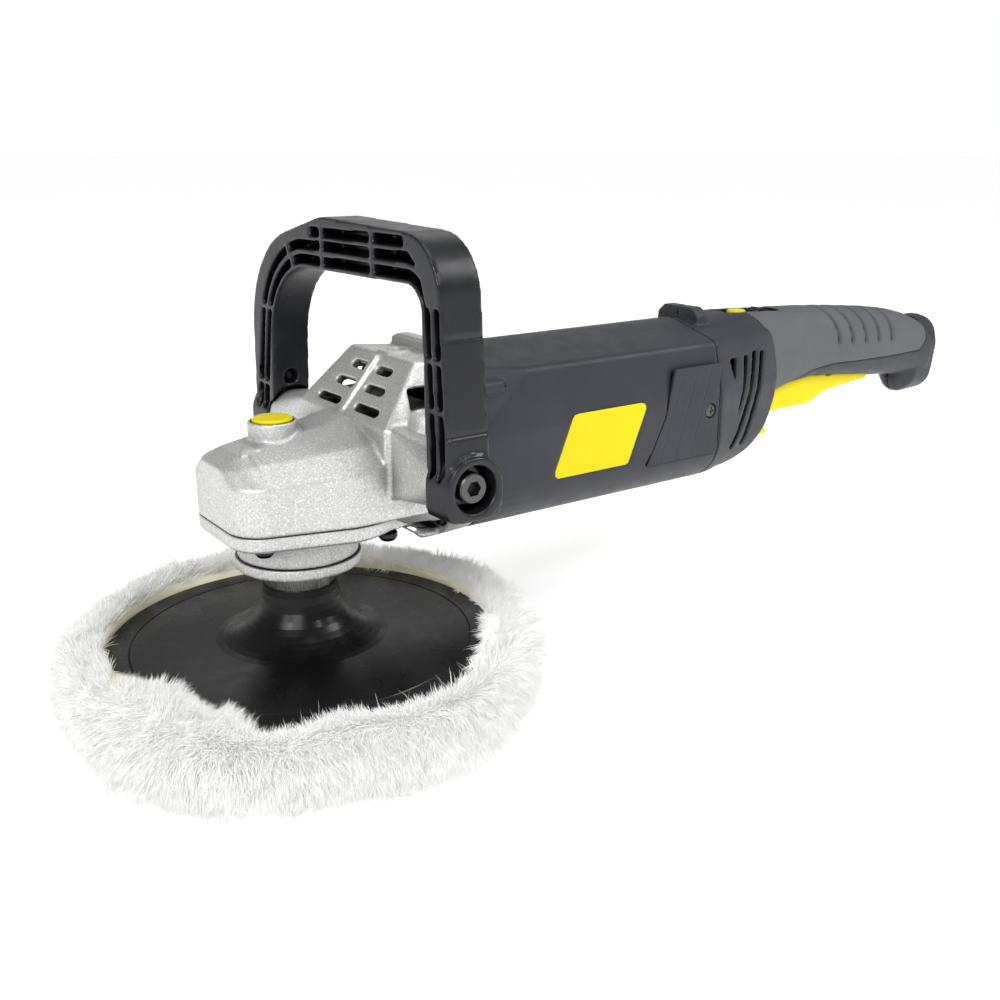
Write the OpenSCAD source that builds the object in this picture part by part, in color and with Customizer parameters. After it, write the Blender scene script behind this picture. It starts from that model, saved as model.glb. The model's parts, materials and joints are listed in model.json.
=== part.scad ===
// Rotary polisher with a D-shaped front handle, an inline trigger handle and a wool bonnet.
// Frame: the origin is on the spindle axis at the working face of the bonnet,
// +Z is up along the spindle, +X runs back along the motor to the trigger handle.

/* [Pad and bonnet] */
// Diameter of the backing pad
pad_d = 180; // [176:1:182]
// Outer diameter of the wool bonnet
bonnet_d = 230; // [226:1:236]
// Height of the pad's upper rim above the working face
rim_z = 32; // [31:0.5:33]

/* [Motor body] */
// Width across the motor housing
body_w = 83; // [81:1:85]
// Height of the motor axis above the working face
axis_z = 118.5; // [118:0.1:119]
// Front face of the motor housing
motor_x0 = 76; // [76:1:77]
// Joint between the motor housing and the trigger handle
motor_x1 = 230; // [229:1:232]

/* [Front handle] */
// Overall width of the D-shaped handle
loop_w = 185; // [184:1:188]
// Height of the top of the D-shaped handle
loop_top = 222; // [220:0.5:224]
// Depth of the D-shaped handle along the body
loop_depth = 20; // [18:1:22]

/* [Gear train] */
// Teeth on the bevel pinion of the armature
pinion_teeth = 9; // [9:9:9]
// Teeth on the bevel wheel of the layshaft
wheel_teeth = 27; // [27:27:27]
// Teeth on the layshaft pinion
lay_teeth = 12; // [12:12:12]
// Teeth on the spindle gear
spindle_teeth = 38; // [38:38:38]
// Module of both gear pairs
gear_m = 1.5; // [1.5:0.1:1.5]

/* [Hidden] */
$fn = 64;
eps = 0.01;
HULL_FN = 32;

// Colours
SILVER = [0.78, 0.79, 0.78];
DARK = [0.24, 0.25, 0.27];
BLACK = [0.10, 0.10, 0.12];
GREY = [0.42, 0.43, 0.45];
YELLOW = [0.97, 0.88, 0.08];
STEEL = [0.62, 0.63, 0.65];
COPPER = [0.72, 0.42, 0.22];
IRON = [0.40, 0.40, 0.42];
WHITE = [0.96, 0.96, 0.95];

// Spindle stack, from the working face up
backing_z = 17.5;
hook_z = 19.5;
foam_z = 21;
pad_z = rim_z - 3;
hub_top = rim_z + 28;
hub_r = 17.4;
flare_r = 26;
groove_r = 78.7;
insert_top = 66;
ring_z0 = 69.6;
ring_z1 = 74.5;
cover_z0 = 87;
cover_z1 = 94;
bearing_z0 = 75;
bearing_h = 11;
bearing_r = 17.5;
collar_r = 27.5;
gear_z0 = 97;
gear_h = 7;
spindle_top = 116;
bush_z0 = 107.5;
bush_r = 6;
shaft_gap = 0.05;

// Gear train
PA = 25;
lay_x = gear_m * (lay_teeth + spindle_teeth) / 2;
bevel_r = gear_m * pinion_teeth / 2;
pinion_cone = atan(pinion_teeth / wheel_teeth);
wheel_cone = 90 - pinion_cone;
cone_dist = bevel_r / sin(pinion_cone);
bevel_face = 7;
lock_x = -9;
lock_pin_r = 2.2;
lock_hole_r = 2.7;
lay_bearing_r = 9.5;

// Motor
arm_r = 21;
arm_x0 = 102;
arm_x1 = 158;
stator_r = 37;
com_x0 = 188;
com_r = 13;
brush_x = 199.5;
front_bearing_x = 60.5;
rear_bearing_x = 211;
shaft_r = 6;
fan_x = 68;
fan_r = 33;

// Body sections, half outlines in the YZ plane about the motor axis
half_w = body_w / 2;
wall = 3;

// D-shaped handle
bolt_x = 35.5;
bolt_z = 120;
loop_x0 = 24;
loop_t = 17;
loop_in = loop_w / 2 - loop_t;
loop_bottom = 106.5;
arm_end = loop_in - 0.05;
bolt_r = 4;
sink_r = 10;

// Trigger handle
tail_x = 446;
end_x = 462;
tail_z = 130;
hood_cx = 239;
hood_cz = 131;
hood_r = 49.5;
cable_r = 4.5;
pivot_x = 392;
pivot_z = 118.5;
trigger_hw = 9;

// ---------- shared shapes ----------

module along_x() { rotate([90, 0, 90]) children(); }
module along_y() { rotate([90, 0, 0]) children(); }
module both_sides() {
    children();
    mirror([0, 1, 0]) children();
}

// Outline stretched round a list of circles [x, y, r], given counter-clockwise.
// Its straight sides lie a hair inside the circles, so that they cross them cleanly.
BELT_SINK = 0.02;
function lift(p, q) =
    let (d = norm([q[0] - p[0], q[1] - p[1]]))
    atan2(q[1] - p[1], q[0] - p[0]) - acos((p[2] - q[2]) / d);
function belt_points(list) = [
    for (i = [0 : len(list) - 1])
        let (p = list[i], q = list[(i + 1) % len(list)], a = lift(p, q))
        for (c = [p, q]) [c[0] + (c[2] - BELT_SINK) * cos(a), c[1] + (c[2] - BELT_SINK) * sin(a)]
];
module belt(list, fn = 64) {
    for (p = list) translate([p[0], p[1]]) circle(r = p[2], $fn = fn);
    polygon(belt_points(list));
}

module ring(r_out, r_in, h) {
    difference() {
        cylinder(r = r_out, h = h);
        translate([0, 0, -1]) cylinder(r = r_in, h = h + 2);
    }
}

// Ball bearing on +Z: two races and a ring of balls
module ball_bearing(r_out, r_in, h, balls = 8) {
    mid = (r_out + r_in) / 2;
    race = (r_out - r_in) * 0.3;
    ball = (r_out - r_in) * 0.19;
    ring(r_out, r_out - race, h);
    ring(r_in + race, r_in, h);
    for (i = [0 : balls - 1])
        rotate(i * 360 / balls) translate([mid, 0, h / 2]) sphere(r = ball, $fn = 24);
}

// Pan-head screw on +Z, its head's seat at z = 0 and its shank going down
module pan_screw(head_r, head_h, shank_r, length) {
    difference() {
        union() {
            cylinder(r = head_r, h = head_h * 0.55);
            translate([0, 0, head_h * 0.55]) cylinder(r1 = head_r, r2 = head_r * 0.72, h = head_h * 0.45);
            translate([0, 0, -length]) cylinder(r = shank_r, h = length);
        }
        for (a = [0, 90])
            rotate(a) translate([-head_r * 0.55, -0.4, head_h * 0.45]) cube([head_r * 1.1, 0.8, head_h]);
    }
}

// ---------- gears ----------

function involute_deg(a) = tan(a) * 180 / PI - a;
function half_tooth(r, rp, rb, half) =
    half + involute_deg(PA) - (r > rb ? involute_deg(acos(rb / r)) : 0);

// Polar points [radius, angle] of one tooth, root to tip and back
function tooth(rp, teeth, add, ded, play) =
    let (
        rb = rp * cos(PA),
        half = 90 / teeth - play / rp * 180 / PI,
        ra = rp + add,
        rf = rp - ded,
        r0 = max(rb, rf),
        steps = [for (i = [0 : 4]) r0 + (ra - r0) * i / 4],
        foot = rf < rb ? [rf] : [],
        up = concat(foot, steps)
    )
    concat(
        [for (r = up) [r, -half_tooth(r, rp, rb, half)]],
        [for (i = [len(up) - 1 : -1 : 0]) [up[i], half_tooth(up[i], rp, rb, half)]]
    );

function spur_points(rp, teeth, add, ded, play) = [
    for (k = [0 : teeth - 1], p = tooth(rp, teeth, add, ded, play))
        p[0] * [cos(p[1] + k * 360 / teeth), sin(p[1] + k * 360 / teeth)]
];

// Bevel gear with its pitch cones' apex at the origin and its teeth at +Z.
// Tooth flanks run to the apex, and the profile is laid out on the back cone.
module bevel_gear(teeth, cone, back_z) {
    r = gear_m * teeth / 2;
    dist = r / sin(cone);
    inner = (dist - bevel_face) / dist;
    back = tooth(r / cos(cone), teeth / cos(cone), 0.8 * gear_m, gear_m, 0.12);
    outer_ring = [
        for (k = [0 : teeth - 1], p = back)
            let (a = p[1] / cos(cone) + k * 360 / teeth, q = p[0] * cos(cone))
            [q * cos(a), q * sin(a), dist / cos(cone) - p[0] * sin(cone)]
    ];
    n = len(outer_ring);
    points = concat(outer_ring, [for (p = outer_ring) p * inner],
        [[0, 0, back_z], [0, 0, dist * cos(cone) * inner]]);
    polyhedron(points, concat(
        [for (i = [0 : n - 1]) [i, (i + 1) % n, n + (i + 1) % n]],
        [for (i = [0 : n - 1]) [i, n + (i + 1) % n, n + i]],
        [for (i = [0 : n - 1]) [(i + 1) % n, i, 2 * n]],
        [for (i = [0 : n - 1]) [n + i, n + (i + 1) % n, 2 * n + 1]]
    ));
}

// ---------- pad and bonnet ----------

function arc(cx, cz, r, a0, a1, n) = [
    for (i = [0 : n]) [cx + r * cos(a0 + (a1 - a0) * i / n), cz + r * sin(a0 + (a1 - a0) * i / n)]
];

module wool_pile() {
    r = bonnet_d / 2;
    color(WHITE) rotate_extrude($fn = 96) polygon(concat(
        [[0, 0], [r - 22, 0]],
        arc(r - 20, 20, 20, -78, 40, 10),
        arc(r - 16, 32, 9, 60, 150, 5),
        [[pad_d / 2 + 1, rim_z], [pad_d / 2 + 1, backing_z], [0, backing_z]]
    ));
}

module bonnet_backing() {
    color(WHITE) translate([0, 0, backing_z]) cylinder(r = pad_d / 2 + 0.5, h = hook_z - backing_z);
}

module hook_disc() {
    color(YELLOW) translate([0, 0, hook_z]) cylinder(r = pad_d / 2, h = foam_z - hook_z);
}

module foam_layer() {
    color(YELLOW) translate([0, 0, foam_z]) ring(pad_d / 2, 9, pad_z - foam_z);
}

module backing_pad() {
    r = pad_d / 2;
    color(BLACK) difference() {
        rotate_extrude($fn = 96) polygon(concat(
            [[0, pad_z], [r - 0.6, pad_z], [r, pad_z + 0.6], [r, rim_z - 0.8], [r - 0.8, rim_z],
             [groove_r + 0.5, rim_z], [groove_r, rim_z - 0.5], [groove_r - 0.5, rim_z]],
            arc(hub_r + flare_r, rim_z + 2 + flare_r, flare_r, 270, 180, 12),
            [[hub_r, hub_top], [0, hub_top]]
        ));
        translate([0, 0, pad_z - 1]) cylinder(r = 12.5, h = hub_top);
    }
}

module pad_insert() {
    color(STEEL) difference() {
        union() {
            translate([0, 0, pad_z + 0.5]) cylinder(r = 12.5, h = hub_top - pad_z);
            translate([0, 0, hub_top]) cylinder(r = 16.4, h = insert_top - hub_top);
        }
        translate([0, 0, pad_z]) cylinder(r = 7.05, h = insert_top);
    }
}

// ---------- spindle and gear head ----------

module spindle() {
    color(STEEL) difference() {
        union() {
            translate([0, 0, 38]) cylinder(r = 7, h = 40);
            translate([0, 0, insert_top]) cylinder(r = 10, h = bearing_z0 - insert_top);
            translate([0, 0, bearing_z0]) cylinder(r = 7.5 - shaft_gap, h = gear_z0 - bearing_z0);
            translate([0, 0, gear_z0 - eps]) cylinder(r = 6, h = gear_h + 1.5);
            translate([0, 0, gear_z0 + gear_h])
                cylinder(r = 4 - shaft_gap, h = spindle_top - gear_z0 - gear_h);
        }
        for (s = [-1, 1])
            translate([s * 12.5 - 4, -15, insert_top + 0.6]) cube([8, 30, 3.4]);
    }
}

module spindle_gear() {
    color(STEEL) translate([0, 0, gear_z0]) difference() {
        linear_extrude(height = gear_h)
            polygon(spur_points(gear_m * spindle_teeth / 2, spindle_teeth, gear_m, 1.25 * gear_m, 0.08));
        translate([0, 0, -1]) cylinder(r = 6, h = gear_h + 2);
        for (a = [0 : 90 : 270])
            rotate(a) translate([lock_x, 0, 1]) cylinder(r = lock_hole_r, h = gear_h);
    }
}

// Plan outline of the gear head, from the rounded nose back to x = length
function head_circles(length, inset = 0) = [
    [-23, -15.5, 16 - inset], [12, -(half_w - 22.5), 22 - inset], [length - 3, -(half_w - 3.5), 3 - inset],
    [length - 3, half_w - 3.5, 3 - inset], [12, half_w - 22.5, 22 - inset], [-23, 15.5, 16 - inset]
];
module head_outline(length) { belt(head_circles(length), HULL_FN); }

// A thin slice of the plan outline whose height climbs towards the back
module tilted(z, climb) {
    multmatrix([[1, 0, 0, 0], [0, 1, 0, 0], [climb, 0, 1, z], [0, 0, 0, 1]])
        linear_extrude(height = 0.2) children();
}

module top_outline() {
    hull() for (s = [-1, 1]) {
        translate([-27, s * 7.5]) circle(r = 12);
        translate([21.5, s * 22]) circle(r = 10);
        translate([50, s * 30]) circle(r = 4);
    }
}

module head_outer() {
    hull() {
        $fn = HULL_FN;
        translate([0, 0, cover_z1]) linear_extrude(height = 0.2) head_outline(62);
        tilted(117.4, 0.08) head_outline(62);
        tilted(125.3, 0.1) top_outline();
        tilted(131.6, 0.17) translate([-30, -9]) square([56, 18]);
    }
}

// Motor housing section, drawn in from the outside by inset
function body_circles(inset, ridge_y, ridge_z) = [
    [half_w - 27, -16.5, 27 - inset], [half_w - 14, 4, 14 - inset], [ridge_y, ridge_z, 5 - inset],
    [0, 13, 30 - inset],
    [-ridge_y, ridge_z, 5 - inset], [-(half_w - 14), 4, 14 - inset], [-(half_w - 27), -16.5, 27 - inset]
];

module body_slice(x, thick, inset, ridge_y = 31, ridge_z = 30, fn = 64) {
    translate([x, 0, axis_z]) along_x() linear_extrude(height = thick)
        belt(body_circles(inset, ridge_y, ridge_z), fn);
}

// Flared part of the gear housing, between the gear head and the motor
module flare_outer(inset) {
    hull() {
        body_slice(66, motor_x0 - 66, inset, 25, 32, HULL_FN);
        translate([47 + inset, -29 + inset, 84]) cube([2, 58 - 2 * inset, 77 - inset]);
        translate([24 + inset, -half_w + 0.5 + inset, 98]) cube([6, body_w - 1 - 2 * inset, 37 - inset]);
        translate([52, -24 + inset, 76 + inset]) cube([6, 48 - 2 * inset, 10]);
    }
}

// Three rows of cooling slots on each side of the rib
module ramp_slots() {
    rows = [[155.2, 4, 18], [147.6, 5, 22], [139.8, 7, 28]];
    slope = atan(27.5 / 23);
    for (row = rows) {
        x = 24 + (row[0] - 135) / tan(slope);
        both_sides() translate([x, 0, row[0]]) rotate([0, -slope, 0])
            linear_extrude(height = 30, center = true)
            belt([[0, row[1] + 2, 2], [0, row[2] - 2, 2]]);
    }
}

function screw_spots() = [[33, 27], [28, -31.5]];

module gear_housing() {
    color(SILVER) difference() {
        union() {
            head_outer();
            flare_outer(0);
            // Arms that carry the D-shaped handle
            both_sides() hull() {
                translate([bolt_x, -arm_end + 4, bolt_z]) along_y() cylinder(r = 12.5, h = 4, $fn = 48);
                translate([27, -half_w + 3, 104]) cube([26, 2, 32]);
            }
            // Rib down the middle of the sloping front
            translate([22.9, -1.8, 134]) rotate([0, 40, 0]) translate([-1.3, 0, -2]) cube([3, 3.6, 36]);
            // Low rest on the top of the flange
            translate([62, -17, 158]) cube([7, 34, 7]);
            translate([62, 0, 0]) along_x() linear_extrude(height = 7)
                polygon([[-17, 164], [17, 164], [17, 165], [11, 167.3], [-11, 167.3], [-17, 165]]);
            // Boss of the spindle lock
            translate([lock_x, 0, 128]) cylinder(r = 11, h = 9.5);
            // Land of the centre screw
            translate([55, 0, 158]) cylinder(r = 8, h = 4);
        }
        // Seat of the cover, and the gear chamber above it
        translate([0, 0, cover_z0 - 20]) linear_extrude(height = cover_z1 - cover_z0 + 20)
            belt(cover_circles(-0.15));
        translate([0, 0, cover_z1 - 1]) linear_extrude(height = 13) belt(head_circles(60, 2.9));
        translate([0, 0, 104]) cylinder(r = 12.5, h = 3.5);
        translate([lay_x, 0, 104]) cylinder(r = 23, h = 11.4);
        translate([lay_x - 2, 0, axis_z]) along_x() cylinder(r = 10, h = 24);
        translate([lay_x, 0, 104]) cylinder(r = 8, h = 18.5);
        // Seats of the bushes and bearings
        translate([0, 0, 104]) cylinder(r = bush_r, h = bush_z0 + 10 - 104);
        translate([lay_x, 0, 121]) cylinder(r = lay_bearing_r, h = 7);
        translate([front_bearing_x, 0, axis_z]) along_x() cylinder(r = 16, h = 8);
        translate([front_bearing_x - 4, 0, axis_z]) along_x() cylinder(r = 9, h = 10);
        // Fan chamber, open to the motor
        difference() {
            union() {
                intersection() {
                    flare_outer(3.5);
                    union() {
                        translate([67, -50, 60]) cube([20, 100, 120]);
                        translate([25, -50, 137]) cube([60, 100, 40]);
                        translate([44, -50, 60]) cube([40, 100, 29]);
                    }
                }
                translate([67, 0, axis_z]) along_x() cylinder(r = fan_r + 2, h = 12);
            }
            both_sides() translate([46, 46, 139]) rotate([0, 30, 0]) translate([0, 0, -12])
                cylinder(r = 15, h = 44);
        }
        ramp_slots();
        // Lower cooling slots
        both_sides() translate([50, 9, 84]) rotate([0, -40, 0]) linear_extrude(height = 22, center = true)
            belt([[0, 0, 2.4], [0, 10, 2.4]]);
        // Lock pin and button wells
        translate([lock_x, 0, 104]) cylinder(r = lock_pin_r + 0.1, h = 40);
        translate([lock_x, 0, 127.5]) cylinder(r = 9.3, h = 20);
        // Centre screw socket
        translate([55, 0, 160.4]) cylinder(r = 4.2, h = 10);
        // Scoops and holes of the four housing screws
        both_sides() {
            translate([46, 46, 139]) rotate([0, 30, 0]) {
                translate([0, 0, -9]) cylinder(r1 = 8, r2 = 12, h = 9);
                cylinder(r1 = 12, r2 = 10.5, h = 28);
            }
            translate([40, 31, 83]) along_x() cylinder(r = 7, h = 20);
            for (p = screw_spots()) {
                translate([40, p[0], axis_z + p[1]]) along_x() cylinder(r = 5, h = 22);
                translate([60, p[0], axis_z + p[1]]) along_x() cylinder(r = 2.2, h = 20);
            }
        }
        // Holes of the D-shaped handle's bolts
        both_sides() translate([bolt_x, -arm_end - 1, bolt_z]) rotate([-90, 0, 0])
            cylinder(r = bolt_r, h = 22);
        // Pilot holes of the cover screws
        for (p = cover_spots()) translate([p[0], p[1], cover_z1 - 1]) cylinder(r = 2, h = 11);
    }
}

function cover_spots() = [[-26, -22], [-26, 22], [28, -34], [28, 34]];

function cover_circles(inset) = [
    [-23, -15.5, 16 - inset], [12, -(half_w - 22.5), 22 - inset], [lay_x - 7, -14, 21 - inset],
    [lay_x - 7, 14, 21 - inset], [12, half_w - 22.5, 22 - inset], [-23, 15.5, 16 - inset]
];

module gear_cover() {
    color(SILVER) difference() {
        union() {
            translate([0, 0, cover_z0 + 1]) linear_extrude(height = cover_z1 - cover_z0 - 1.05)
                belt(cover_circles(0));
            translate([0, 0, cover_z0]) linear_extrude(height = 1.5) belt(cover_circles(1));
            translate([0, 0, ring_z1]) cylinder(r = collar_r, h = cover_z0 - ring_z1 + 1);
        }
        translate([0, 0, ring_z1 - 1]) cylinder(r = bearing_r, h = bearing_z0 + bearing_h - ring_z1 + 1);
        translate([0, 0, cover_z0 - 2]) cylinder(r = 13, h = 12);
        translate([lay_x, 0, cover_z1 - 6]) cylinder(r = lay_bearing_r, h = 8);
        for (p = cover_spots()) translate([p[0], p[1], cover_z0 - 1]) cylinder(r = 2.3, h = 12);
    }
}

module bearing_ring() {
    color(SILVER) translate([0, 0, ring_z0]) ring(28.8, 12.2, ring_z1 - ring_z0 - 0.02);
}

module felt_seal() {
    color(BLACK) translate([0, 0, ring_z0 + 0.8]) ring(12.2, 10.3, 3.4);
}

module spindle_bearing() {
    color(STEEL) translate([0, 0, bearing_z0]) ball_bearing(bearing_r, 7.5, bearing_h - 0.1);
}

module spindle_top_bush() {
    color(STEEL) translate([0, 0, bush_z0]) ring(bush_r, 4, 10 - 0.2);
}

module cover_screws() {
    color(BLACK) for (p = cover_spots())
        translate([p[0], p[1], cover_z0]) mirror([0, 0, 1]) pan_screw(4.4, 3.6, 1.95, 14);
}

module housing_screws() {
    color(BLACK) both_sides() for (p = screw_spots())
        translate([60, p[0], axis_z + p[1]]) rotate([0, -90, 0]) pan_screw(4.3, 4, 2.1, 26);
}

// ---------- spindle lock ----------

module lock_button() {
    color(YELLOW) translate([lock_x, 0, 133.4]) {
        cylinder(r = 9, h = 4.2);
        translate([0, 0, 4.2]) cylinder(r1 = 9, r2 = 8.2, h = 0.8);
    }
}

module lock_pin() {
    color(STEEL) translate([lock_x, 0, gear_z0 + gear_h + 1])
        cylinder(r = lock_pin_r, h = 133.4 - gear_z0 - gear_h - 1);
}

module coil_spring(r, wire, height, turns, start_z = 0) {
    steps = 10;
    sides = 6;
    n = turns * steps;
    rings = [for (i = [0 : n]) for (j = [0 : sides - 1])
        let (a = i * 360 / steps, b = j * 360 / sides, d = r + wire * cos(b))
        [d * cos(a), d * sin(a), start_z + height * i / n + wire * sin(b)]];
    polyhedron(rings, concat(
        [[for (j = [0 : sides - 1]) j]],
        [for (i = [0 : n - 1]) for (j = [0 : sides - 1])
            let (k = (j + 1) % sides)
            [i * sides + j, (i + 1) * sides + j, (i + 1) * sides + k, i * sides + k]],
        [[for (j = [sides - 1 : -1 : 0]) n * sides + j]]
    ));
}

module lock_spring() {
    color(STEEL) translate([lock_x, 0, 0]) coil_spring(5, 0.45, 4.6, 3, 128.1);
}

// ---------- layshaft ----------

module layshaft() {
    color(STEEL) {
        translate([lay_x, 0, 88.5]) cylinder(r = 4 - shaft_gap, h = 6);
        translate([lay_x, 0, 94.5]) cylinder(r = 5, h = 25.5);
        translate([lay_x, 0, 120]) cylinder(r = 4 - shaft_gap, h = 7.5);
    }
}

module layshaft_pinion() {
    color(STEEL) translate([lay_x, 0, 96.5]) difference() {
        rotate(180 / lay_teeth) linear_extrude(height = 8)
            polygon(spur_points(gear_m * lay_teeth / 2, lay_teeth, gear_m, 1.25 * gear_m, 0.08));
        translate([0, 0, -1]) cylinder(r = 5, h = 10);
    }
}

module bevel_wheel() {
    color(STEEL) translate([lay_x, 0, axis_z]) mirror([0, 0, 1]) difference() {
        union() {
            rotate(180 / wheel_teeth) bevel_gear(wheel_teeth, wheel_cone, 11.5);
            translate([0, 0, 8.6]) cylinder(r = 14, h = 4.4);
        }
        cylinder(r = 5, h = 30);
    }
}

module layshaft_bearings() {
    color(STEEL) {
        translate([lay_x, 0, cover_z1 - 6]) ball_bearing(lay_bearing_r, 4, 5.9, 7);
        translate([lay_x, 0, 121.1]) ball_bearing(lay_bearing_r, 4, 6.8, 7);
    }
}

// ---------- armature ----------

module bevel_pinion() {
    color(STEEL) translate([lay_x, 0, axis_z]) rotate([0, 90, 0]) difference() {
        bevel_gear(pinion_teeth, pinion_cone, cone_dist * cos(pinion_cone) + 3);
        cylinder(r = 2.6, h = 40);
    }
}

module armature_shaft() {
    color(STEEL) translate([0, 0, axis_z]) along_x() {
        translate([0, 0, 49.5]) cylinder(r = 2.6, h = 13);
        translate([0, 0, front_bearing_x])
            cylinder(r = shaft_r - shaft_gap, h = rear_bearing_x + 1 - front_bearing_x);
        translate([0, 0, rear_bearing_x]) cylinder(r = 4 - shaft_gap, h = 9);
    }
}

module armature_core() {
    slots = 16;
    color(IRON) translate([arm_x0, 0, axis_z]) along_x() difference() {
        cylinder(r = arm_r, h = arm_x1 - arm_x0);
        translate([0, 0, -1]) cylinder(r = shaft_r, h = 80);
        for (i = [0 : slots - 1])
            rotate(i * 360 / slots) translate([arm_r - 6, -1.2, -1]) cube([8, 2.4, 80]);
    }
}

module armature_windings() {
    color(COPPER) translate([0, 0, axis_z]) along_x() {
        translate([0, 0, arm_x0 - 9]) ring(arm_r - 4, shaft_r, 9);
        translate([0, 0, arm_x1]) ring(arm_r - 4, shaft_r, 10);
    }
}

module commutator() {
    bars = 24;
    color(COPPER) translate([com_x0, 0, axis_z]) along_x() difference() {
        cylinder(r = com_r, h = 20);
        translate([0, 0, -1]) cylinder(r = shaft_r, h = 30);
        for (i = [0 : bars - 1])
            rotate(i * 360 / bars) translate([com_r - 0.8, -0.3, -1]) cube([2, 0.6, 30]);
    }
}

module fan() {
    blades = 11;
    color(DARK) translate([fan_x, 0, axis_z]) along_x() difference() {
        union() {
            translate([0, 0, 9]) cylinder(r = fan_r, h = 2);
            cylinder(r = 11, h = 11);
            for (i = [0 : blades - 1])
                rotate(i * 360 / blades) translate([9, -1, 1]) cube([fan_r - 10, 2, 9]);
        }
        translate([0, 0, -1]) cylinder(r = shaft_r, h = 20);
    }
}

module armature_bearings() {
    color(STEEL) translate([0, 0, axis_z]) along_x() {
        translate([0, 0, front_bearing_x]) ball_bearing(16, shaft_r, 6.4);
        translate([0, 0, rear_bearing_x + 1.2]) ball_bearing(11, 4, 7, 7);
    }
}

// ---------- motor ----------

module motor_outer(inset) {
    union() {
        hull() {
            body_slice(motor_x0 + 0.02, 1, inset, 25, 32, HULL_FN);
            body_slice(104, 1, inset - 0.1, 31, 30, HULL_FN);
        }
        body_slice(104.5, motor_x1 - 104.5, inset);
    }
}

// Side outline of the badge and of the brush cover, both slanted the same way
module slanted(x0, x1, z0, z1, lean, r) {
    offset(r = r) offset(delta = -r)
        polygon([[x0, z0], [x1, z0], [x1 + lean, z1], [x0 + lean, z1]]);
}

module badge_outline() { slanted(115.5, 165, 97, 128.5, 13.2, 3.5); }

module cover_panel_outline() {
    polygon([[178, 94], [motor_x1 - 1.5, 94], [motor_x1 - 1.5, 142.5], [195.5, 142.5], [190, 118]]);
}

module through_side(depth0, depth1) {
    translate([0, -depth0, 0]) along_y() linear_extrude(height = depth1 - depth0) children();
}

module motor_housing() {
    color(DARK) difference() {
        motor_outer(0);
        difference() {
            motor_outer(wall);
            // Bulkhead with the rear bearing seat
            translate([rear_bearing_x - 2, -60, 0]) cube([10.4, 120, 300]);
        }
        translate([motor_x1 - 14, 0, 0]) body_slice(0, 20, wall);
        translate([motor_x0 - 2, 0, 0]) body_slice(0, 10, wall + 0.5, 25, 32);
        translate([rear_bearing_x - 3, 0, axis_z]) along_x() cylinder(r = 7, h = 8);
        translate([rear_bearing_x + 1.2, 0, axis_z]) along_x() cylinder(r = 11, h = 10);
        for (a = [0 : 60 : 300])
            translate([rear_bearing_x - 3, 0, axis_z]) rotate([a + 30, 0, 0]) translate([0, 0, 22])
                along_x() cylinder(r = 7, h = 14);
        both_sides() {
            through_side(half_w - 0.9, half_w + 2) badge_outline();
            through_side(half_w - 2.2, half_w + 2) offset(delta = 0.4) cover_panel_outline();
            translate([brush_x, -half_w - 1, axis_z]) rotate([-90, 0, 0]) cylinder(r = 8.2, h = 12);
            translate([222.5, -half_w - 1, 117.5]) rotate([-90, 0, 0]) cylinder(r = 1.65, h = 12);
            for (p = screw_spots())
                translate([motor_x0 - 1, p[0], axis_z + p[1]]) along_x() cylinder(r = 2.15, h = 18);
        }
    }
    // Ribs that hold the stator
    color(DARK) for (z = [-41.62, 37.02])
        translate([arm_x0, -4, axis_z + z]) cube([arm_x1 - arm_x0, 8, 4.6]);
    // Screw posts of the brush covers
    color(DARK) both_sides() translate([222.5, -33, 117.5]) rotate([90, 0, 0])
        ring(3.6, 1.65, half_w - 2.4 - 33);
    color(DARK) both_sides() for (p = screw_spots())
        translate([motor_x0 + 1, p[0], axis_z + p[1]]) along_x() ring(3.8, 2.15, 14);
}

module stator_core() {
    color(IRON) translate([arm_x0 - 2, 0, axis_z]) along_x() difference() {
        cylinder(r = stator_r, h = arm_x1 - arm_x0 + 4);
        translate([0, 0, -1]) cylinder(r = arm_r + 0.8, h = 80);
        for (s = [-1, 1]) translate([-17, s * 25.5 - 4.5, -1]) cube([34, 9, 80]);
    }
}

module field_coils() {
    color(COPPER) for (s = [-1, 1])
        translate([arm_x0 - 12, -16, axis_z + s * 25.5 - 4]) difference() {
            cube([arm_x1 - arm_x0 + 24, 32, 8]);
            translate([9.5, -1, -1]) cube([arm_x1 - arm_x0 + 5, 34, 10]);
        }
}

module baffle_ring() {
    color(BLACK) translate([motor_x0 + 7, 0, axis_z]) along_x() ring(36, 24, 3);
}

module brush_holders() {
    color([0.75, 0.6, 0.25]) both_sides() translate([brush_x, 0, axis_z]) rotate([90, 0, 0])
        translate([0, 0, 17]) difference() {
            cylinder(r = 8.2, h = half_w - 17 - 2.4);
            translate([-5.2, -3.2, -1]) cube([10.4, 6.4, 40]);
        }
}

module carbon_brushes() {
    color(BLACK) both_sides() translate([brush_x - 5, -27, axis_z - 3]) cube([10, 27 - com_r - 0.15, 6]);
}

module brush_springs() {
    color(STEEL) both_sides() translate([brush_x, -27.6, axis_z]) rotate([90, 0, 0])
        coil_spring(2.4, 0.35, 7, 4);
}

module brush_covers() {
    color(DARK) both_sides() difference() {
        through_side(half_w - 2.1, half_w - 0.1) cover_panel_outline();
        translate([222.5, -half_w - 1, 117.5]) rotate([-90, 0, 0]) cylinder(r = 4, h = 2.4);
        translate([222.5, -half_w - 1, 117.5]) rotate([-90, 0, 0]) cylinder(r = 1.9, h = 8);
        for (i = [0 : 3])
            through_side(half_w - 0.6, half_w + 1)
                polygon([[186 + i * 11, 95], [186.8 + i * 11, 95], [201.8 + i * 10, 141.5],
                    [201 + i * 10, 141.5]]);
    }
}

module brush_cover_screws() {
    color(STEEL) both_sides() translate([222.5, -half_w + 1.3, 117.5]) rotate([90, 0, 0])
        pan_screw(3.4, 1.2, 1.6, 6);
}

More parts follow.
